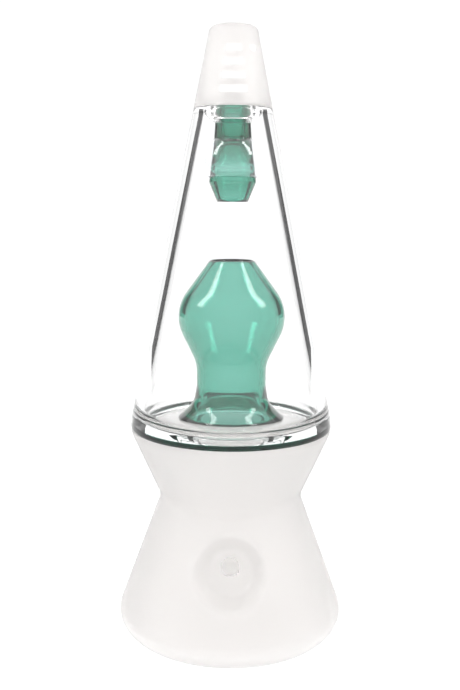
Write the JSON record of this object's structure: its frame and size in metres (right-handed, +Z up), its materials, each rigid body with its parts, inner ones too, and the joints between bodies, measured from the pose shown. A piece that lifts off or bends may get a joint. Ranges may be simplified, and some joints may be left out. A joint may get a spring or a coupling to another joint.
{
  "type": "lava-lamp-shaped glass pipe",
  "caption": "Blown-glass piece in the outline of a lava lamp: frosted cap, clear cone, two facing hollow teal tubes, frosted hourglass base with a dished bowl.",
  "frame": {"origin": "on the table plane, under the middle of the foot", "axes": "+Z up along the axis of revolution; -Y is the front, the side that carries the bowl and the emblem"},
  "size_m": [0.0758, 0.0758, 0.2],
  "materials": {
    "frosted_glass": "sandblasted",
    "clear_glass": "polished",
    "teal_glass": "polished",
    "white_enamel": "glossy fired enamel"
  },
  "bodies": {
    "root": {"mouthpiece": "frosted_glass", "cap_emblem": "white_enamel", "neck_seal": "clear_glass", "upper_tube": "teal_glass", "tube_bubble": "clear_glass", "lower_tube": "teal_glass", "chamber": "clear_glass", "chamber_floor": "clear_glass", "floor_ring": "teal_glass", "base_funnel": "frosted_glass", "base_bell": "frosted_glass", "base_foot": "frosted_glass", "bowl": "frosted_glass"}
  },
  "joints": []
}
